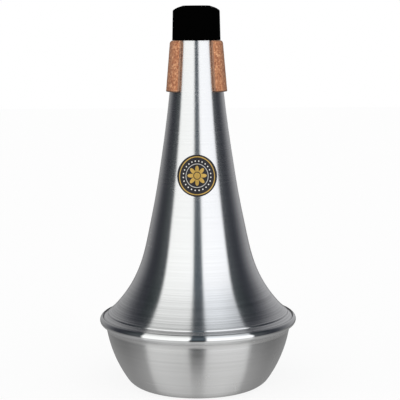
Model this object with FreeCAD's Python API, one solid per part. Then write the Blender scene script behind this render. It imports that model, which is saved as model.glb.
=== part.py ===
import FreeCAD, Part
import math
import os

# Trombone straight mute: a spun aluminium cone crimped to a spun aluminium bowl, with a rubber
# bumper on the open narrow end, three cork strips that wedge in the bell, and a round label.
# Millimetres and degrees. The origin is the middle of the flat base, +Z runs up the axis to the
# narrow end, and the label faces -Y.

V = FreeCAD.Vector
AXIS = V(0, 0, 1)

# Whole mute
overall_height = 253.6          # base to the crest of the bumper
rim_radius = 66.0               # outermost circle of the crimped bead
wall = 0.8                      # sheet of the cone and of the bowl

# Bowl
foot_corner_radius = 44.3       # where the flat base would meet the lower wall
foot_bend = 13.0                # bend between base and wall
belly_out_share = 0.777         # the wall bulges towards this corner between foot and neck
belly_up_share = 0.50
neck_inset = 4.2                # from the rim in to the narrowest corner, just under the bead
neck_bend = 4.5
least_straight = 0.2            # sheet left straight between two bends of the wall

# Crimped bead, where the bowl's rim is closed over the cone's flange
bead_height = 45.0              # height of the outermost circle
bead_bend = 3.0
underside_angle = 48.7          # the bead's underside faces this far below level
flange_angle = 55.0             # the flange and the crimp on it face this far above level
crimp_lap = 0.6                 # straight end of the crimp past its bend
seam_gap = 0.05                 # between the flange and the bead's inside
flange_turn_angle = 15.0        # the turned edge of the flange faces this far below level
flange_end = 0.3                # straight end of the turned edge

# Cone
lip_inset = 5.6                 # from the rim in to the step where the cone ends on its flange
lip_step = 0.55                 # height of the step's corner over the flange
lip_inner_bend = 0.05
lip_face_angle = 15.0           # the step's face leans this far from upright
lip_root_bend = 0.3
foot_approach_angle = 52.4      # the cone's foot faces this far above level at the step
approach = 1.2                  # straight run of the foot before the step
tip_radius = 13.5
# Stations of the flare: shares of the height from lip to tip, and of the radius from tip to lip
flare_shares = [(0.72, 0.103), (0.50, 0.23), (0.39, 0.308), (0.30, 0.385),
                (0.235, 0.444), (0.17, 0.52), (0.10, 0.653), (0.04, 0.829)]

# End bumper
bumper_length = 22.5
bumper_end_thick = 4.2          # rubber above the cone's edge
bumper_foot_wall = 0.9          # rubber round the cone at the bumper's foot
bumper_top_wall = 1.95          # and at the cone's edge
bumper_bore_radius = 8.0
bumper_crest_inset = 0.4        # from the bore out to the highest circle of the rounded end
bumper_bore_depth = 0.8         # how far the rounded end falls towards the bore
bumper_side_depth = 3.9         # how far it falls towards its outer side
bumper_fall_power = 1.85        # 1 falls as a quarter ellipse, and more falls sooner off the crest
bumper_fit = 0.2                # between rubber and cone

# Cork strips
cork_count = 3
cork_length = 33.4
cork_thick = 2.6
cork_span_angle = 44.0
cork_first_angle = 60.0         # from the label's side to the middle of the first strip
cork_gap = 0.1                  # between the strips and the bumper
cork_top_bend = 2.1
cork_foot_bend = 0.35
cork_side_bend = 0.6
glue_gap = 0.15                 # under the corks and the label

# Label
label_diameter = 27.2           # laid flat
label_thick = 0.25
label_drop = 53.3               # from the corks' feet down to the middle of the label
label_overrun = 5.0             # how far the label's punch passes the cone

tip_height = overall_height - bumper_end_thick
bumper_foot_height = overall_height - bumper_length
cork_top_height = bumper_foot_height - cork_gap
cork_foot_height = cork_top_height - cork_length
label_height = cork_foot_height - label_drop


def at(radius, height):
    """A point of a section, in the XZ plane."""
    return V(radius, 0, height)


def facing(angle):
    """Unit direction that faces outwards, this many degrees above level."""
    return at(math.cos(math.radians(angle)), math.sin(math.radians(angle)))


def along(angle):
    """Unit direction down a surface that faces this many degrees above level."""
    return at(math.sin(math.radians(angle)), -math.cos(math.radians(angle)))


def crossing(point, angle, other_point, other_angle):
    """Where the lines down two surfaces meet, each through its own point."""
    first, second = along(angle), along(other_angle)
    offset = other_point - point
    turn = first.x * second.z - first.z * second.x
    return point + first * ((offset.x * second.z - offset.z * second.x) / turn)


def half_angle(before, corner, after):
    """Half the angle between the two runs that meet at a corner."""
    return (before - corner).getAngle(after - corner) / 2


def bend_reach(before, corner, after, bend):
    """How much of each run the rounding of a corner takes."""
    return bend / math.tan(half_angle(before, corner, after))


def rounded(before, corner, after, bend):
    """Arc that rounds a corner with the bend's radius."""
    back, ahead = (before - corner).normalize(), (after - corner).normalize()
    reach = bend_reach(before, corner, after, bend)
    inwards = (back + ahead).normalize()
    depth = bend / math.sin(half_angle(before, corner, after)) - bend
    return Part.Arc(corner + back * reach, corner + inwards * depth, corner + ahead * reach)


def rounded_path(points, bends):
    """Edges of an open path through the points, with each inner corner rounded to its bend."""
    edges, start = [], points[0]
    for before, corner, after, bend in zip(points, points[1:], points[2:], bends):
        arc = rounded(before, corner, after, bend)
        edges += [Part.makeLine(start, arc.StartPoint), arc.toShape()]
        start = arc.EndPoint
    return edges + [Part.makeLine(start, points[-1])]


def closed_face(edges):
    return Part.Face(Part.Wire(edges))


def spun(face, angle=360):
    """Solid that a section sweeps round the axis."""
    return face.revolve(V(), AXIS, angle).Solids[0]


def bead_centre():
    return at(rim_radius - bead_bend, bead_height)


def crimp_edge():
    """Outer corner of the bowl's raw edge, over the flange."""
    bend_end = bead_centre() + facing(flange_angle) * bead_bend
    return bend_end - along(flange_angle) * crimp_lap


def bowl_outline():
    """Outside of the bowl, from the middle of the base to the raw edge of the crimp."""
    under = bead_centre() + facing(-underside_angle) * bead_bend
    bead = crossing(under, -underside_angle, crimp_edge(), flange_angle)
    neck = crossing(under, -underside_angle, at(rim_radius - neck_inset, 0), 0)
    foot = at(foot_corner_radius, 0)
    belly = at(foot.x + belly_out_share * (neck.x - foot.x), belly_up_share * neck.z)
    centre = at(0, 0)
    foot_room = foot.distanceToPoint(belly) - bend_reach(centre, foot, belly, foot_bend)
    neck_room = neck.distanceToPoint(belly) - bend_reach(belly, neck, bead, neck_bend)
    room = min(foot_room, neck_room) - least_straight
    belly_bend = room * math.tan(half_angle(foot, belly, neck))
    points = [centre, foot, belly, neck, bead, crimp_edge()]
    return rounded_path(points, [foot_bend, belly_bend, neck_bend, bead_bend])


def bowl_shell():
    outline = Part.Wire(bowl_outline())
    return spun(outline.makeOffset2D(wall, 0, True, True))


def flange_bend():
    """Radius of the flange's turned edge, inside the bead."""
    return bead_bend - wall - seam_gap


def flange_point():
    """A point on the outside of the flange, where its turned edge begins."""
    return bead_centre() + facing(flange_angle) * flange_bend()


def lip_corner():
    on_flange = crossing(flange_point(), flange_angle, at(rim_radius - lip_inset, 0), 0)
    return on_flange + AXIS * lip_step


def flare_foot():
    return lip_corner() - along(foot_approach_angle) * approach


def flare_curve(swell=0.0):
    """Outside of the cone from its tip to its foot, or a curve further out by the swell."""
    tip, lip = at(tip_radius, tip_height), lip_corner()
    height, width = tip.z - lip.z, lip.x - tip.x
    stations = [at(tip.x + out * width, lip.z + up * height) for up, out in flare_shares]
    points = [tip] + stations + [flare_foot()]
    slope = (points[1] - points[0]).normalize()
    curve = Part.BSplineCurve()
    curve.interpolate([point + at(swell, 0) for point in points],
                      InitialTangent=slope, FinalTangent=along(foot_approach_angle))
    return curve


def flare_radius(height):
    """Outside radius of the cone at a height."""
    level = Part.Line(at(0, height), at(rim_radius, height))
    return flare_curve().intersect(level)[0].X


def flange_outline():
    """Outside of the step, the flange and its turned edge, from the foot of the flare."""
    centre, bend = bead_centre(), flange_bend()
    turned = centre + facing(-flange_turn_angle) * bend
    turn = crossing(flange_point(), flange_angle, turned, -flange_turn_angle)
    root = crossing(lip_corner(), lip_face_angle, flange_point(), flange_angle)
    end = turned + along(-flange_turn_angle) * flange_end
    points = [flare_foot(), lip_corner(), root, turn, end]
    return rounded_path(points, [wall + lip_inner_bend, lip_root_bend, bend])


def flare_inside():
    """Inside of the cone, one wall in from each station of the flare."""
    outside, points = flare_curve(), []
    for station in outside.getKnots():
        slope = outside.tangent(station)[0]
        points.append(outside.value(station) - at(-slope.z, slope.x) * wall)
    curve = Part.BSplineCurve()
    curve.interpolate(points, InitialTangent=outside.tangent(outside.FirstParameter)[0],
                      FinalTangent=outside.tangent(outside.LastParameter)[0])
    return curve


def cone_shell():
    outside, inside = flare_curve(), flare_inside()
    flare = closed_face([outside.toShape(), Part.makeLine(outside.EndPoint, inside.EndPoint),
                         inside.toShape(), Part.makeLine(inside.StartPoint, outside.StartPoint)])
    flange = Part.Wire(flange_outline()).makeOffset2D(-wall, 0, True, True)
    return spun(flare).fuse(spun(flange)).Solids[0]


def inside_of_flare(swell):
    """Solid that fills the flare, swollen by a distance, for fitting pieces to the cone."""
    curve = flare_curve(swell)
    tip, foot = curve.StartPoint, curve.EndPoint
    over_tip, under_foot = at(0, tip.z), at(0, foot.z)
    return spun(closed_face([curve.toShape(), Part.makeLine(foot, under_foot),
                             Part.makeLine(under_foot, over_tip), Part.makeLine(over_tip, tip)]))


def quarter_round(centre, across, drop, fall_power=1.0):
    """Quarter of an ellipse, from the top above its centre to the side it falls to."""
    points = []
    for turn in (0, 22.5, 45, 67.5, 90):
        out_share, up_share = math.sin(math.radians(turn)), math.cos(math.radians(turn))
        points.append(centre + at(across * out_share ** fall_power, drop * up_share))
    curve = Part.BSplineCurve()
    curve.interpolate(points, InitialTangent=at(across, 0).normalize(), FinalTangent=-AXIS)
    return curve.toShape()


def end_bumper():
    """Rubber sleeve over the tip, closed over the cone's edge and open at the bore."""
    side = at(tip_radius + bumper_top_wall, overall_height - bumper_side_depth)
    side_foot = at(flare_radius(bumper_foot_height) + bumper_foot_wall, bumper_foot_height)
    bore = at(bumper_bore_radius, overall_height - bumper_bore_depth)
    bore_foot = at(bumper_bore_radius, bumper_foot_height)
    crest = bumper_bore_radius + bumper_crest_inset
    outer = quarter_round(at(crest, side.z), side.x - crest, bumper_side_depth, bumper_fall_power)
    inner = quarter_round(at(crest, bore.z), bore.x - crest, bumper_bore_depth)
    body = spun(closed_face([outer, Part.makeLine(side, side_foot), Part.makeLine(side_foot, bore_foot),
                             Part.makeLine(bore_foot, bore), inner]))
    over_edge = Part.makeCylinder(tip_radius + bumper_fit, bumper_fit, at(0, tip_height))
    return body.cut(inside_of_flare(bumper_fit).fuse(over_edge)).Solids[0]


def cork_blank():
    """One strip before it is fitted to the cone, its middle over +X."""
    foot = at(flare_radius(cork_foot_height) + cork_thick, cork_foot_height)
    top = at(flare_radius(cork_top_height) + cork_thick, cork_top_height)
    core_foot, core_top = at(tip_radius - wall, foot.z), at(tip_radius - wall, top.z)
    edges = rounded_path([core_foot, foot, top, core_top], [cork_foot_bend, cork_top_bend])
    blank = spun(closed_face(edges + [Part.makeLine(core_top, core_foot)]), cork_span_angle)
    return blank.rotate(V(), AXIS, -cork_span_angle / 2)


def side_edges(strip):
    """The two long outer edges of a strip, which run from its foot to its top."""
    outer = flare_radius((cork_foot_height + cork_top_height) / 2) + cork_thick / 2
    found = []
    for edge in strip.Edges:
        centre = edge.CenterOfMass
        if edge.BoundBox.ZLength > cork_length / 2 and math.hypot(centre.x, centre.y) > outer:
            found.append(edge)
    return found


def cork_strip(angle):
    """A strip that is bent round the cone, with its long outer edges rounded."""
    cone = inside_of_flare(glue_gap).rotate(V(), AXIS, 180)
    strip = cork_blank().cut(cone).Solids[0]
    strip = strip.makeFillet(cork_side_bend, side_edges(strip))
    return strip.rotate(V(), AXIS, angle)


def label():
    """Round label that wraps the cone, punched along the cone's normal from a thin skin over it."""
    radius, reach = flare_radius(label_height), label_diameter / 2
    half_width = radius * math.sin(reach / radius)
    step = flare_radius(label_height - reach) - flare_radius(label_height + reach)
    lean = math.degrees(math.atan2(step, label_diameter))
    outline = Part.Ellipse(V(), reach, half_width).toShape()
    punch = closed_face([outline]).extrude(AXIS * (radius + label_overrun))
    punch.rotate(V(), AXIS, 90)
    punch.rotate(V(), V(1, 0, 0), 90 - lean)
    punch.translate(AXIS * (label_height - radius * math.tan(math.radians(lean))))
    skin = inside_of_flare(glue_gap + label_thick).cut(inside_of_flare(glue_gap))
    return skin.common(punch).Solids[0]


def save(node, shape):
    if not shape.isValid() or len(shape.Shells) != 1:
        raise ValueError(node + " is not one closed solid")
    shape.exportStep(os.path.join("parts", node + ".step"))
    print(node, round(shape.Volume), "cubic mm", len(shape.Faces), "faces")


def main():
    os.makedirs("parts", exist_ok=True)
    save("cone_shell", cone_shell())
    save("bowl_shell", bowl_shell())
    save("end_bumper", end_bumper())
    save("label", label())
    for place, side in enumerate(["right", "rear", "left"]):
        angle = cork_first_angle + place * 360 / cork_count
        save("cork_strip_" + side, cork_strip(angle - 90))


main()
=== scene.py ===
import bpy
import math
from mathutils import Matrix, Vector, noise as noise_kit


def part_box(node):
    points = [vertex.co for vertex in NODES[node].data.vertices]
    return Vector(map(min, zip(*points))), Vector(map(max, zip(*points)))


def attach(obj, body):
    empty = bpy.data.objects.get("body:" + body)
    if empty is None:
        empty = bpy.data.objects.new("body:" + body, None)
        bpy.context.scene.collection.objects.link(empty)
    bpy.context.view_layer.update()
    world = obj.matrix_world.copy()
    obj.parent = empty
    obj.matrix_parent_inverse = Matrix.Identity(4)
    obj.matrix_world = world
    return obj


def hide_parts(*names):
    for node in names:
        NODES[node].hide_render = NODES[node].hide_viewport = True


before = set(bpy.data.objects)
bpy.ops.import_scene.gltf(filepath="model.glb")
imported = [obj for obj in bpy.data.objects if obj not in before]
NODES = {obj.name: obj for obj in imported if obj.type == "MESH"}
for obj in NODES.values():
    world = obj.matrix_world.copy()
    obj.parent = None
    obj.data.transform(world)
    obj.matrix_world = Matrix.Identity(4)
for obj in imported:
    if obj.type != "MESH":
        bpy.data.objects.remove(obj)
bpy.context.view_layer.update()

MM = 0.001
WHITE = (1, 1, 1, 1)

# Camera, fitted to the mute's outline in the photograph
PHOTO_WIDTH = 400
FOCAL_PIXELS = 1301
SENSOR_WIDTH = 36.0             # mm
CAMERA_DISTANCE = 0.8614        # along the floor, from the mute's axis
CAMERA_HEIGHT = 0.2402
CAMERA_SIDE = 0.0018
CAMERA_PITCH = 7.611            # degrees below level
CAMERA_ROLL = -0.315            # degrees

# The bowl's raw edge, where it is crimped over the cone's flange: its outer corner, the flange's slope,
# and the grime on the edge and painted shade in the corner under it, measured up the flange from the
# corner
CRIMP_EDGE = (0.06423, 0.0478)  # radius and height
CRIMP_SLOPE = math.radians(55)
SHADE_AND_GRIME_START = (-0.09 * MM, -0.03 * MM)
SHADE_AND_GRIME_END = (0.1 * MM, 0.35 * MM)
SHADE_AND_GRIME_DROP = (1.6 * MM, 1.2 * MM)       # how far below the corner it reaches
CRIMP_SHADE_AND_GRIME = (0.05, 0.05, 0.055, 1)

# Both metals
SHEEN_GRAIN = 0.85              # how far the turned rings stretch the highlights
TONES = ((0.80, 0.80, 0.80, 1), (1.14, 1.14, 1.14, 1))  # what the rings and hairlines do to the colour
HAIRLINE_PITCH = 0.8 * MM
RING_PITCH = 1.7 * MM
SCRATCH_CELL = 26 * MM
SCRATCH_WIDTH = 0.35 * MM

# Cork. The strips carry a painted shade where they face the mute's right and left.
CORK_GRAINS = [(0.0, (0.335, 0.118, 0.056)), (0.35, (0.495, 0.207, 0.099)), (0.7, (0.63, 0.297, 0.146)),
               (1.0, (0.83, 0.45, 0.246))]
CORK_PATCH = (0.38, 0.151, 0.078, 1)
CORK_STREAK = (0.40, 0.112, 0.05, 1)
CORK_FLECK = (0.10, 0.045, 0.028, 1)
CORK_DUST = (0.27, 0.20, 0.16, 1)
CORK_FOOT_SHADE = (0.05, 0.032, 0.024, 1)
CORK_SIDE_SHADE = (0.12, 0.085, 0.065, 1)
CORK_VOXEL = 0.2 * MM
CORK_CRUMB = 0.9 * MM           # size, then depth
CORK_CRUMB_DEPTH = 0.05 * MM
CORK_GRAIN = 1.5 * MM
CORK_PIT_DEPTH = 0.30 * MM
CORK_EDGE_CHIP = 1.6 * MM
CORK_EDGE_DEPTH = 0.28 * MM

# Label, in shares of its radius
LABEL_RIM = (0.90, 0.022)       # radius and half width
LABEL_LINE = (0.56, 0.010)
LABEL_HUB = (0.17, 0.02)
LABEL_DOTS = 24
LABEL_DOT_CIRCLE = 0.70
LABEL_DOT_RADIUS = 0.032
LABEL_PETALS = 8
LABEL_PETAL_FOOT = 0.20
LABEL_PETAL_LENGTH = 0.28
LABEL_EDGE = 0.012              # half the width of the print's soft edges
LABEL_GOLD = (0.62, 0.40, 0.10, 1)
LABEL_PALE = (0.80, 0.78, 0.74, 1)
LABEL_BLACK = (0.016, 0.015, 0.019, 1)

# Studio, as metal sees it. A turn and a lean are the degrees by which a surface is turned rightwards
# from the camera and leans back when it mirrors that part of the studio. Two bright panels stand in
# front with a dark gap between them, and black flags beside them give way to grey walls. A pair of
# leans is where a value starts to change and where it has changed.
PANELS = [(-30, (1.09, 1.10, 1.08)), (-6, (1.12, 1.13, 1.12)), (6, (1.155, 1.165, 1.185)),
          (30, (1.13, 1.14, 1.17))]
PANELS_FADE = [(0, 1.0), (15, 0.985), (22, 0.905), (30, 0.76), (36, 0.665), (45, 0.585), (48, 0.12),
               (60, 0.10)]      # brightness at a lean
PANELS_LEANS = (6.0, 26.0)
PANELS_MIDDLE = (-0.2, -0.8)    # of the two panels together, between those leans
PANELS_HALF_WIDTH = (33.3, 31.7)
PANELS_TOP_LEANS = (40.0, 52.0)
PANELS_TOP_GROWTH = 1.8         # what their half width gains there
PANELS_EDGE = (1.3, 3.0)        # half the width of their soft edge, below and above
CORNER_TURNS = (14.0, 34.0)     # the right panel's upper corner, which is dimmer
CORNER_LEANS = (10.0, 34.0)
CORNER_LOSS = 0.35
COOL_TURNS = (0.0, 5.0)         # the right panel's upper part, which is a little bluer
COOL_LEANS = (16.0, 27.0)
COOL = (0.93, 0.955, 0.975, 1)
GAP_HALF_WIDTH = 4.45
GAP_LEANS = (22.0, 36.0)
GAP_MIDDLE = (0.3, 0.1)         # between those leans
GAP_EDGE = (0.9, 1.6)           # between those leans
GAP_TONE_LEANS = (18.0, 32.0)
GAP_LOW = (0.084, 0.104, 0.122, 1)
GAP_HIGH = (0.050, 0.060, 0.070, 1)
GAP_FOOT_LEANS = (8.0, -4.0)
GAP_FOOT_GROWTH = 0.35          # half of what the gap gains there, all of it on its left
GAP_FOOT = (0.050, 0.062, 0.072, 1)
WALLS = [(-84, (0.37, 0.37, 0.375)), (-70, (0.25, 0.25, 0.255)), (-60, (0.098, 0.10, 0.11)),
         (-55, (0.046, 0.048, 0.055)), (-50, (0.030, 0.032, 0.040)), (-45, (0.036, 0.041, 0.046)),
         (-38, (0.068, 0.075, 0.080)), (38, (0.066, 0.072, 0.080)), (43, (0.042, 0.045, 0.054)),
         (48, (0.034, 0.037, 0.046)), (53, (0.060, 0.063, 0.073)), (60, (0.155, 0.157, 0.168)),
         (68, (0.295, 0.295, 0.305)), (84, (0.45, 0.45, 0.46))]     # flags and walls by their turn
# What the walls come in by at a lean
WALLS_CLOSING = [(18, 0.0), (26, 2.0), (34, 6.0), (43, 11.5), (50, 28.0)]
DEEP_TURN = (0.0, 45.0, 3.0)    # middle, half width and edge of the part where the flags are darker
DEEP_LEAN = (26.0, 8.0, 6.5)
DEEP = (0.64, 0.72, 0.70, 1)

# The floor that the panels light, and the walls' feet, as metal sees them
HORIZON = (-11.0, -16.0)        # the leans between which the studio passes into the floor
FLOOR_FRONT = [(-90, 0.30), (-66, 0.38), (-50, 0.51), (-41, 0.61), (-35, 0.65), (-29, 0.63),
               (-23, 0.60), (-14, 0.60)]
FLOOR_ACROSS = [(-24, 0.98), (-9, 0.87), (9, 1.0), (18, 1.05), (30, 1.03)]
FLOOR_SIDES = [(-50, 0.272), (-38, 0.282), (-32, 0.25), (-28, 0.22), (-22, 0.185), (-16, 0.15)]
FLOOR_REACH = [(-0.2, 33.2, 2.0, 0.71), (0.0, 43.0, 11.0, 0.29)]    # middle, half width, edge and share
FLOOR_GAP = [(-90, 0.0), (-64, 0.06), (-50, 0.20), (-42, 0.12), (-35, 0.18), (-29, 0.36),
             (-23, 0.62), (-17, 0.92), (-12, 0.99)]     # how dark the gap's shade on the floor is
FLOOR_FAR_LEANS = (-24.0, -14.0)
FLOOR_GAP_MIDDLE = -0.6
FLOOR_GAP_HALF_WIDTH = (GAP_HALF_WIDTH - 0.1, GAP_HALF_WIDTH + 1.1)     # between those leans
FLOOR_GAP_EDGE = 1.3
RIM_TURNS = (15.0, 32.0)        # the lit floor's sides, which are dimmer near the mute
RIM_LEANS = (-30.0, -44.0)
RIM_LOSS = 0.19
SHOULDER = (-7.0, 7.0, 6.0)     # middle, half width and edge of the dimmer far floor beside the gap
SHOULDER_LOSS = 0.15

# The even light on matte surfaces, and the floor that the camera sees
LIGHT_FRONT = (1.45, 1.45, 1.45, 1)
LIGHT_BACK = (0.35, 0.35, 0.35, 1)
BOARD_HALF = 3.0
BOARD_GLOW = 0.86               # share of plain white in the floor, the rest is lit board


def add(tree, kind, inputs=None, **settings):
    """One shader node. An input given as a socket is linked, and any other value is set."""
    node = tree.nodes.new("ShaderNode" + kind)
    for name, value in settings.items():
        setattr(node, name, value)
    for name, value in (inputs or {}).items():
        if isinstance(value, bpy.types.NodeSocket):
            tree.links.new(value, node.inputs[name])
        else:
            node.inputs[name].default_value = value
    return node


def calc(tree, operation, *values, clamp=False):
    node = add(tree, "Math", dict(enumerate(values)), operation=operation, use_clamp=clamp)
    return node.outputs[0]


def calc_vector(tree, operation, *values):
    return add(tree, "VectorMath", dict(enumerate(values)), operation=operation).outputs[0]


def hypotenuse(tree, first, second):
    squares = [calc(tree, "POWER", side, 2.0) for side in (first, second)]
    return calc(tree, "SQRT", calc(tree, "ADD", *squares))


def swing(tree, value, reach):
    """A noise about a half, moved to 0 and scaled."""
    return calc(tree, "MULTIPLY", calc(tree, "SUBTRACT", value, 0.5), reach)


def remap(tree, value, low, high, new_low=0.0, new_high=1.0, smooth=True):
    node = add(tree, "MapRange", {0: value, 1: low, 2: high, 3: new_low, 4: new_high},
               interpolation_type="SMOOTHSTEP" if smooth else "LINEAR")
    return node.outputs[0]


def within(tree, value, middle, half_width, edge):
    """1 nearer to the middle than half a width, with soft edges."""
    off = calc(tree, "ABSOLUTE", calc(tree, "SUBTRACT", value, middle))
    return remap(tree, calc(tree, "DIVIDE", calc(tree, "SUBTRACT", off, half_width), edge), 1.0, -1.0)


def blend(tree, factor, first, second):
    """Mixes two colours."""
    node = add(tree, "Mix", {0: factor, 6: first, 7: second}, data_type="RGBA")
    return node.outputs[2]


def noise(tree, vector, detail=2.0, roughness=0.5):
    node = add(tree, "TexNoise", {"Vector": vector, "Scale": 1.0, "Detail": detail,
                                  "Roughness": roughness})
    return node.outputs["Fac"]


def stretch(tree, vector, x, y, z):
    """Coordinates divided by a grain's size along each axis."""
    return calc_vector(tree, "MULTIPLY", vector, (1 / x, 1 / y, 1 / z))


def colour_ramp(tree, factor, stops):
    node = add(tree, "ValToRGB", {"Fac": factor})
    elements = node.color_ramp.elements
    for _ in stops[2:]:
        elements.new(0.5)
    for element, (place, colour) in zip(elements, stops):
        element.position = place
        element.color = (*colour, 1)
    return node.outputs["Color"]


def degree_ramp(tree, angle, stops):
    """A colour that follows an angle from -90 to 90 degrees."""
    share = calc(tree, "MULTIPLY_ADD", angle, 1 / 180, 0.5)
    return colour_ramp(tree, share, [(0.5 + degrees / 180, colour) for degrees, colour in stops])


def level_ramp(tree, angle, stops):
    """A number that follows an angle from -90 to 90 degrees."""
    return degree_ramp(tree, angle, [(degrees, (level,) * 3) for degrees, level in stops])


def new_material(name):
    material = bpy.data.materials.new(name)
    material.use_nodes = True
    tree = material.node_tree
    tree.nodes.clear()
    return material, tree


def object_place(tree):
    """The place on the object, and its three axes."""
    place = add(tree, "TexCoord").outputs["Object"]
    return place, add(tree, "SeparateXYZ", {0: place}).outputs


def finish_material(tree, surface):
    add(tree, "OutputMaterial", {"Surface": surface})


def scratches(tree, place):
    """Thin broken scratches, 1 along their middle."""
    cells = stretch(tree, place, SCRATCH_CELL, SCRATCH_CELL, SCRATCH_CELL * 1.6)
    web = add(tree, "TexVoronoi", {"Vector": cells, "Scale": 1.0},
              feature="DISTANCE_TO_EDGE").outputs["Distance"]
    line = remap(tree, web, 0.0, SCRATCH_WIDTH / SCRATCH_CELL, 1.0, 0.0)
    gaps = noise(tree, stretch(tree, place, *[SCRATCH_CELL * 0.7] * 3), detail=1.0)
    return calc(tree, "MULTIPLY", line, remap(tree, gaps, 0.56, 0.62))


def crimp_shade_and_grime(tree, radius, height):
    """1 on the raw edge over the flange (grime) and in the corner under it (painted shade), fading up the
    flange.
    """
    across, up = CRIMP_EDGE
    inwards = calc(tree, "MULTIPLY", calc(tree, "SUBTRACT", radius, across), -math.sin(CRIMP_SLOPE))
    upwards = calc(tree, "MULTIPLY", calc(tree, "SUBTRACT", height, up), math.cos(CRIMP_SLOPE))
    along = calc(tree, "ADD", inwards, upwards)
    near = calc(tree, "MULTIPLY", remap(tree, along, *SHADE_AND_GRIME_START),
                remap(tree, along, *SHADE_AND_GRIME_END, 1.0, 0.0))
    return calc(tree, "MULTIPLY", near, remap(tree, height, *[up - drop for drop in SHADE_AND_GRIME_DROP]))


def round_normal(tree, axes, radius):
    """The surface's normal without its part along the ring, which a spun body doesn't have."""
    face = add(tree, "SeparateXYZ", {0: add(tree, "TexCoord").outputs["Normal"]}).outputs
    outward = {axis: calc(tree, "DIVIDE", axes[axis], radius) for axis in "XY"}
    across = calc(tree, "ADD", *[calc(tree, "MULTIPLY", face[axis], outward[axis]) for axis in "XY"])
    flat = {axis: calc(tree, "MULTIPLY", outward[axis], across) for axis in "XY"}
    radial = add(tree, "CombineXYZ", {**flat, "Z": face["Z"]}).outputs[0]
    turned = add(tree, "VectorTransform", {0: radial}, vector_type="NORMAL",
                 convert_from="OBJECT", convert_to="WORLD").outputs[0]
    return calc_vector(tree, "NORMALIZE", turned)


def spun_aluminium(name, run, heights, colours, roughness, ring_heights, ring_depth):
    """Aluminium with turned rings. run is -1 on the cone, which widens downwards, and 1 on the bowl.

    Between the two heights colour and roughness pass from their first to their second value, and the
    rings' depth does between the two ring heights.
    """
    material, tree = new_material(name)
    place, axes = object_place(tree)
    radius = hypotenuse(tree, axes["X"], axes["Y"])
    length = calc(tree, "ADD", axes["Z"], calc(tree, "MULTIPLY", radius, float(run)))
    ring_place = add(tree, "CombineXYZ", {"X": axes["X"], "Y": axes["Y"], "Z": length}).outputs[0]
    hairlines = noise(tree, stretch(tree, ring_place, 0.5, 0.5, HAIRLINE_PITCH), detail=1.0)
    rings = noise(tree, stretch(tree, ring_place, 0.35, 0.35, RING_PITCH))
    cloud = noise(tree, stretch(tree, place, 35 * MM, 35 * MM, 60 * MM))
    worn = scratches(tree, place)
    depth = remap(tree, axes["Z"], *ring_heights, *ring_depth)

    hairline_tone = swing(tree, hairlines, calc(tree, "MULTIPLY_ADD", depth, 0.14, 0.10))
    tone = calc(tree, "ADD", swing(tree, rings, depth), hairline_tone)
    shade = calc(tree, "ADD", calc(tree, "ADD", tone, 0.5), calc(tree, "MULTIPLY", worn, 0.12), clamp=True)
    base = blend(tree, remap(tree, axes["Z"], *heights), *[(*colour, 1) for colour in colours])
    toned = calc_vector(tree, "MULTIPLY", base, blend(tree, shade, *TONES))
    clean = calc_vector(tree, "MINIMUM", toned, (0.99, 0.99, 0.99))
    # Grime on the raw edge, and painted shade in the corner under it
    skin = blend(tree, crimp_shade_and_grime(tree, radius, axes["Z"]), clean, CRIMP_SHADE_AND_GRIME)

    ring_rough = calc(tree, "ADD", remap(tree, axes["Z"], *heights, *roughness), swing(tree, rings, 0.10))
    rough = calc(tree, "ADD", ring_rough, calc(tree, "ADD", swing(tree, cloud, 0.03),
                                               calc(tree, "MULTIPLY", worn, 0.05)))
    fine = calc(tree, "MULTIPLY", hairlines, calc(tree, "MULTIPLY_ADD", depth, 0.10, 0.07))
    coarse = calc(tree, "SUBTRACT", calc(tree, "MULTIPLY", rings, depth),
                  calc(tree, "MULTIPLY", worn, 0.15))
    bump = add(tree, "Bump", {"Height": calc(tree, "ADD", fine, coarse), "Strength": 1.0,
                              "Distance": 0.006 * MM, "Normal": round_normal(tree, axes, radius)})
    tangent = add(tree, "Tangent", direction_type="RADIAL", axis="Z")
    metal = add(tree, "BsdfPrincipled", {
        "Base Color": skin, "Metallic": 1.0, "Roughness": rough, "Anisotropic": SHEEN_GRAIN,
        "Anisotropic Rotation": 0.25, "Tangent": tangent.outputs[0], "Normal": bump.outputs[0]})
    finish_material(tree, metal.outputs[0])
    return material


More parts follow.
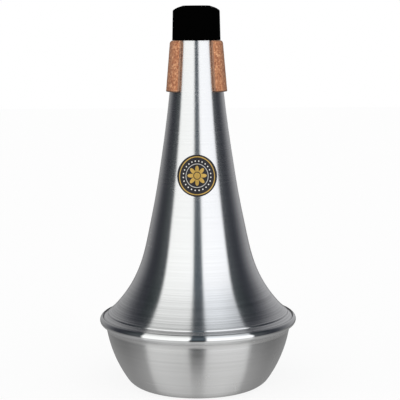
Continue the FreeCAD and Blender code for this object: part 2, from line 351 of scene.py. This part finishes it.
def cork():
    """Pressed cork: grains in patches, streaks, pits and dusty sides, with a painted shade along the foot.
    """
    material, tree = new_material("granular_cork")
    place, axes = object_place(tree)
    grains = add(tree, "TexVoronoi", {"Vector": stretch(tree, place, 1.1 * MM, 1.1 * MM, 1.2 * MM),
                                      "Scale": 1.0}).outputs
    grain_tone = add(tree, "SeparateColor", {0: grains["Color"]}).outputs[0]
    patches = noise(tree, stretch(tree, place, 2.6 * MM, 2.6 * MM, 3.4 * MM))
    streaks = noise(tree, stretch(tree, place, 0.8 * MM, 0.8 * MM, 1.5 * MM), detail=3.0, roughness=0.6)
    flecks = noise(tree, stretch(tree, place, 0.6 * MM, 0.6 * MM, 0.7 * MM))
    flat = add(tree, "CombineXYZ", {"X": axes["X"], "Y": axes["Y"]}).outputs[0]
    outward = calc_vector(tree, "NORMALIZE", flat)
    facing = add(tree, "VectorMath", {0: outward, 1: add(tree, "NewGeometry").outputs["Normal"]},
                 operation="DOT_PRODUCT").outputs["Value"]
    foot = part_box("cork_strip_left")[0].z
    # Painted shade: darker where the strips turn to the mute's right and left, away from the front light
    side_shade = within(tree, add(tree, "SeparateXYZ", {0: outward}).outputs["Y"], -0.05, 0.4, 0.3)
    layers = [(remap(tree, patches, 0.35, 0.65, 0.55, 0.0), CORK_PATCH),
              (remap(tree, streaks, 0.56, 0.68, 0.0, 0.7), CORK_STREAK),
              (remap(tree, flecks, 0.60, 0.68, 0.0, 0.9), CORK_FLECK),
              (remap(tree, facing, 0.25, 0.80, 0.5, 0.0), CORK_DUST),
              # Painted shade along the foot, where the strip meets the metal
              (remap(tree, axes["Z"], foot + 0.4 * MM, foot + 1.2 * MM, 0.85, 0.0), CORK_FOOT_SHADE),
              (calc(tree, "MULTIPLY", side_shade, 0.6), CORK_SIDE_SHADE)]
    colour = colour_ramp(tree, grain_tone, CORK_GRAINS)
    for share, layer in layers:
        colour = blend(tree, share, colour, layer)
    cells = calc(tree, "MULTIPLY", grains["Distance"], -0.5)
    height = calc(tree, "SUBTRACT", calc(tree, "ADD", cells, calc(tree, "MULTIPLY", streaks, 0.6)),
                  remap(tree, flecks, 0.60, 0.74, 0.0, 0.8))
    bump = add(tree, "Bump", {"Height": height, "Strength": 1.0, "Distance": 0.12 * MM})
    skin = add(tree, "BsdfPrincipled", {"Base Color": colour, "Roughness": 0.85,
                                        "Specular IOR Level": 0.25, "Normal": bump.outputs[0]})
    finish_material(tree, skin.outputs[0])
    return material


def rubber():
    material, tree = new_material("matte_black_rubber")
    place, _ = object_place(tree)
    grain = noise(tree, stretch(tree, place, *[0.35 * MM] * 3), detail=3.0)
    cloud = noise(tree, stretch(tree, place, *[8 * MM] * 3))
    shade = blend(tree, cloud, (0.0002, 0.0002, 0.0002, 1), (0.0006, 0.0006, 0.0006, 1))
    rough = remap(tree, cloud, 0.3, 0.7, 0.72, 0.86)
    bump = add(tree, "Bump", {"Height": grain, "Strength": 0.6, "Distance": 0.03 * MM})
    skin = add(tree, "BsdfPrincipled", {"Base Color": shade, "Roughness": rough,
                                        "Specular IOR Level": 0.01, "Normal": bump.outputs[0]})
    finish_material(tree, skin.outputs[0])
    return material


def label_print():
    """Black film with a generic print: a gold rim, a ring of pale dots and a gold rosette."""
    low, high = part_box("label")
    middle = (low.z + high.z) / 2
    reach = (high.z - low.z) / 2
    bend = -low.y
    material, tree = new_material("printed_label")
    place, axes = object_place(tree)
    turn = calc(tree, "ARCTAN2", axes["X"], calc(tree, "MULTIPLY", axes["Y"], -1.0))
    across = calc(tree, "MULTIPLY", turn, bend / reach * 0.95)
    up = calc(tree, "DIVIDE", calc(tree, "SUBTRACT", axes["Z"], middle), reach)
    distance = hypotenuse(tree, across, up)
    angle = calc(tree, "ARCTAN2", up, across)

    def inside(value, limit):
        return remap(tree, value, limit - LABEL_EDGE, limit + LABEL_EDGE, 1.0, 0.0)

    def ring(centre, half_width):
        return inside(calc(tree, "ABSOLUTE", calc(tree, "SUBTRACT", distance, centre)), half_width)

    step = math.tau / LABEL_DOTS
    phase = calc(tree, "FRACT", calc(tree, "MULTIPLY", angle, 1 / step))
    aside = swing(tree, phase, LABEL_DOT_CIRCLE * step)
    spot = hypotenuse(tree, aside, calc(tree, "SUBTRACT", distance, LABEL_DOT_CIRCLE))
    petals = calc(tree, "ABSOLUTE", calc(tree, "COSINE", calc(tree, "MULTIPLY", angle, LABEL_PETALS / 2)))
    petal_reach = calc(tree, "ADD", calc(tree, "MULTIPLY", petals, LABEL_PETAL_LENGTH), LABEL_PETAL_FOOT)
    rosette = inside(calc(tree, "SUBTRACT", distance, petal_reach), 0.0)
    print_gold = calc(tree, "MAXIMUM", ring(*LABEL_RIM), rosette)
    print_gold = calc(tree, "SUBTRACT", print_gold, ring(*LABEL_HUB), clamp=True)
    print_pale = calc(tree, "MAXIMUM", inside(spot, LABEL_DOT_RADIUS), ring(*LABEL_LINE))
    skin_colour = blend(tree, print_pale, blend(tree, print_gold, LABEL_BLACK, LABEL_GOLD), LABEL_PALE)
    fibre = noise(tree, stretch(tree, place, *[0.5 * MM] * 3))
    rough = remap(tree, fibre, 0.3, 0.7, 0.30, 0.42)
    height = calc(tree, "ADD", calc(tree, "MAXIMUM", print_gold, print_pale),
                  calc(tree, "MULTIPLY", fibre, 0.2))
    bump = add(tree, "Bump", {"Height": height, "Strength": 0.5, "Distance": 0.03 * MM})
    skin = add(tree, "BsdfPrincipled", {"Base Color": skin_colour, "Roughness": rough,
                                        "Metallic": calc(tree, "MULTIPLY", print_gold, 0.6),
                                        "Specular IOR Level": 0.3, "Normal": bump.outputs[0]})
    finish_material(tree, skin.outputs[0])
    return material


def dress(material, node):
    for place in NODES[node].material_slots:
        place.material = material


def cork_wear(point):
    """How deep the cork is worn away at a point, in metres: crumbs, and pits where a grain fell out."""
    crumbs = noise_kit.fractal(point / CORK_CRUMB, 0.8, 2.0, 3)
    distances, centres = noise_kit.voronoi(point / CORK_GRAIN)
    fallen = noise_kit.cell(centres[0] * 7.3) > 0.55
    pit = max(0.0, 1.0 - distances[0] / 0.5) if fallen else 0.0
    return CORK_CRUMB_DEPTH * max(0.0, crumbs + 0.4) + CORK_PIT_DEPTH * pit


def edge_wear(point):
    return CORK_EDGE_DEPTH * max(0.0, noise_kit.noise(point / CORK_EDGE_CHIP) + 0.15)


def rough_cork(node, material):
    """The CAD strip's mesh at an even grain, worn back on its outer side, with crumbled edges.

    Its sides are worn less than its face, so that they still meet the cone.
    """
    shape = bpy.data.objects.new(node + "_shape", NODES[node].data.copy())
    bpy.context.scene.collection.objects.link(shape)
    remesh = shape.modifiers.new("grain", "REMESH")
    remesh.mode = "VOXEL"
    remesh.voxel_size = CORK_VOXEL
    mesh = bpy.data.meshes.new_from_object(shape.evaluated_get(bpy.context.evaluated_depsgraph_get()))
    bpy.data.objects.remove(shape)
    normals = [vertex.normal.copy() for vertex in mesh.vertices]
    for vertex, normal in zip(mesh.vertices, normals):
        outward = Vector((vertex.co.x, vertex.co.y, 0)).normalized()
        facing = normal.dot(outward)
        if facing > -0.3:
            edge = 1.0 - abs(2.0 * min(1.0, max(0.0, facing)) - 1.0)
            share = min(1.0, max(0.0, 0.1 + 1.5 * facing))
            vertex.co -= normal * (share * cork_wear(vertex.co) + edge * edge_wear(vertex.co))
    mesh.materials.clear()
    mesh.materials.append(material)
    mesh.shade_smooth()
    piece = bpy.data.objects.new(node.replace("cork_strip", "rough_cork"), mesh)
    bpy.context.scene.collection.objects.link(piece)
    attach(piece, "root")
    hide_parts(node)


def dress_mute():
    dress(spun_aluminium("polished_spun_aluminium", run=-1, heights=(0.150, 0.070),
                         colours=[(0.88, 0.885, 0.89), (0.88, 0.885, 0.89)], roughness=(0.265, 0.185),
                         ring_heights=(0.079, 0.059), ring_depth=(0.42, 2.0)), "cone_shell")
    dress(spun_aluminium("satin_spun_aluminium", run=1, heights=(0.0405, 0.0425),
                         colours=[(0.86, 0.86, 0.855), (0.93, 0.94, 0.94)], roughness=(0.25, 0.09),
                         ring_heights=(0.0405, 0.0425), ring_depth=(0.5, 0.4)), "bowl_shell")
    dress(rubber(), "end_bumper")
    dress(label_print(), "label")
    cork_skin = cork()
    for side in ("right", "rear", "left"):
        rough_cork("cork_strip_" + side, cork_skin)


def upper_studio(tree, turn, lean):
    corner = calc(tree, "MULTIPLY", remap(tree, turn, *CORNER_TURNS), remap(tree, lean, *CORNER_LEANS))
    fade = calc(tree, "MULTIPLY", level_ramp(tree, lean, PANELS_FADE),
                calc(tree, "MULTIPLY_ADD", corner, -CORNER_LOSS, 1.0))
    cooling = calc(tree, "MULTIPLY", remap(tree, turn, *COOL_TURNS), remap(tree, lean, *COOL_LEANS))
    lamps = calc_vector(tree, "MULTIPLY", degree_ramp(tree, turn, PANELS),
                        blend(tree, cooling, WHITE, COOL))
    panels = calc_vector(tree, "MULTIPLY", lamps, fade)

    foot = remap(tree, lean, *GAP_FOOT_LEANS)
    gap_middle = calc(tree, "MULTIPLY_ADD", foot, -GAP_FOOT_GROWTH,
                      remap(tree, lean, *GAP_LEANS, *GAP_MIDDLE))
    gap_half_width = calc(tree, "MULTIPLY_ADD", foot, GAP_FOOT_GROWTH, GAP_HALF_WIDTH)
    gap = within(tree, turn, gap_middle, gap_half_width, remap(tree, lean, *GAP_LEANS, *GAP_EDGE))
    dark = blend(tree, remap(tree, lean, *GAP_TONE_LEANS), GAP_LOW, GAP_HIGH)
    front = blend(tree, gap, panels, blend(tree, foot, dark, GAP_FOOT))

    closing = calc(tree, "MULTIPLY", calc(tree, "SIGN", turn), level_ramp(tree, lean, WALLS_CLOSING))
    deep = calc(tree, "MULTIPLY", within(tree, turn, *DEEP_TURN), within(tree, lean, *DEEP_LEAN))
    walls = calc_vector(tree, "MULTIPLY", degree_ramp(tree, calc(tree, "ADD", turn, closing), WALLS),
                        blend(tree, deep, WHITE, DEEP))

    half_width = calc(tree, "ADD", remap(tree, lean, *PANELS_LEANS, *PANELS_HALF_WIDTH),
                      remap(tree, lean, *PANELS_TOP_LEANS, 0.0, PANELS_TOP_GROWTH))
    share = within(tree, turn, remap(tree, lean, *PANELS_LEANS, *PANELS_MIDDLE), half_width,
                   remap(tree, lean, *PANELS_TOP_LEANS, *PANELS_EDGE))
    return blend(tree, share, walls, front)


def lower_studio(tree, turn, lean):
    half_width = remap(tree, lean, *FLOOR_FAR_LEANS, *FLOOR_GAP_HALF_WIDTH)
    gap = calc(tree, "MULTIPLY", within(tree, turn, FLOOR_GAP_MIDDLE, half_width, FLOOR_GAP_EDGE),
               level_ramp(tree, lean, FLOOR_GAP))
    rim = calc(tree, "MULTIPLY", remap(tree, calc(tree, "ABSOLUTE", turn), *RIM_TURNS),
               remap(tree, lean, *RIM_LEANS))
    shoulder = calc(tree, "MULTIPLY", within(tree, turn, *SHOULDER), remap(tree, lean, *FLOOR_FAR_LEANS))
    tone = level_ramp(tree, turn, FLOOR_ACROSS)
    for shade, loss in ((gap, 1.0), (rim, RIM_LOSS), (shoulder, SHOULDER_LOSS)):
        tone = calc(tree, "MULTIPLY", tone, calc(tree, "MULTIPLY_ADD", shade, -loss, 1.0))
    front = calc(tree, "MULTIPLY", level_ramp(tree, lean, FLOOR_FRONT), tone)
    parts = [calc(tree, "MULTIPLY", within(tree, turn, middle, half, edge), share)
             for middle, half, edge, share in FLOOR_REACH]
    return blend(tree, calc(tree, "ADD", *parts), level_ramp(tree, lean, FLOOR_SIDES), front)


def studio_world():
    """White to the camera. Metal sees the studio's lit panels, and matte surfaces an even light."""
    world = bpy.data.worlds.new("studio")
    world.use_nodes = True
    tree = world.node_tree
    tree.nodes.clear()
    way = add(tree, "SeparateXYZ", {0: add(tree, "TexCoord").outputs["Generated"]}).outputs
    ahead = calc(tree, "SUBTRACT", 1.0, way["Y"])
    turn = calc(tree, "DEGREES", calc(tree, "ARCTAN2", way["X"], ahead))
    lean = calc(tree, "DEGREES", calc(tree, "ARCTAN2", way["Z"], hypotenuse(tree, ahead, way["X"])))
    panels = blend(tree, remap(tree, lean, *HORIZON), upper_studio(tree, turn, lean),
                   lower_studio(tree, turn, lean))
    even = blend(tree, remap(tree, way["Y"], -1.0, 1.0, smooth=False), LIGHT_FRONT, LIGHT_BACK)
    rays = add(tree, "LightPath").outputs
    lit = blend(tree, rays["Is Glossy Ray"], even, panels)
    seen = blend(tree, rays["Is Camera Ray"], lit, WHITE)
    light = add(tree, "Background", {"Color": seen, "Strength": 1.0})
    add(tree, "OutputWorld", {"Surface": light.outputs[0]})
    bpy.context.scene.world = world


def floor():
    """Pale floor that keeps the mute's soft shadow. Metal sees the studio through it."""
    half = BOARD_HALF
    corners = [(-half, -half, 0), (half, -half, 0), (half, half, 0), (-half, half, 0)]
    mesh = bpy.data.meshes.new("floor")
    mesh.from_pydata(corners, [], [(0, 1, 2, 3)])
    piece = bpy.data.objects.new("floor", mesh)
    bpy.context.scene.collection.objects.link(piece)
    material, tree = new_material("white_board")
    place, _ = object_place(tree)
    grain = noise(tree, stretch(tree, place, 0.4, 0.4, 0.4))
    tone = blend(tree, grain, (0.97, 0.97, 0.97, 1), (0.99, 0.99, 0.99, 1))
    board = add(tree, "BsdfDiffuse", {"Color": tone}).outputs[0]
    glow = add(tree, "Emission", {"Color": WHITE, "Strength": 1.0}).outputs[0]
    clear = add(tree, "BsdfTransparent").outputs[0]
    rays = add(tree, "LightPath").outputs
    lit = add(tree, "MixShader", {0: BOARD_GLOW, 1: board, 2: glow}).outputs[0]
    seen = add(tree, "MixShader", {0: rays["Is Camera Ray"], 1: board, 2: lit}).outputs[0]
    whole = add(tree, "MixShader", {0: rays["Is Glossy Ray"], 1: seen, 2: clear}).outputs[0]
    finish_material(tree, whole)
    mesh.materials.append(material)


def camera():
    data = bpy.data.cameras.new("camera")
    data.sensor_width = SENSOR_WIDTH
    data.lens = FOCAL_PIXELS / PHOTO_WIDTH * SENSOR_WIDTH
    data.clip_start = 0.05
    data.clip_end = 50
    eye = bpy.data.objects.new("camera", data)
    bpy.context.scene.collection.objects.link(eye)
    place = Matrix.Translation((CAMERA_SIDE, -CAMERA_DISTANCE, CAMERA_HEIGHT))
    tilt = Matrix.Rotation(math.radians(90 - CAMERA_PITCH), 4, "X")
    roll = Matrix.Rotation(math.radians(CAMERA_ROLL), 4, "Z")
    eye.matrix_world = place @ tilt @ roll
    bpy.context.scene.camera = eye


dress_mute()
studio_world()
floor()
camera()
bpy.context.scene.view_settings.view_transform = "Standard"
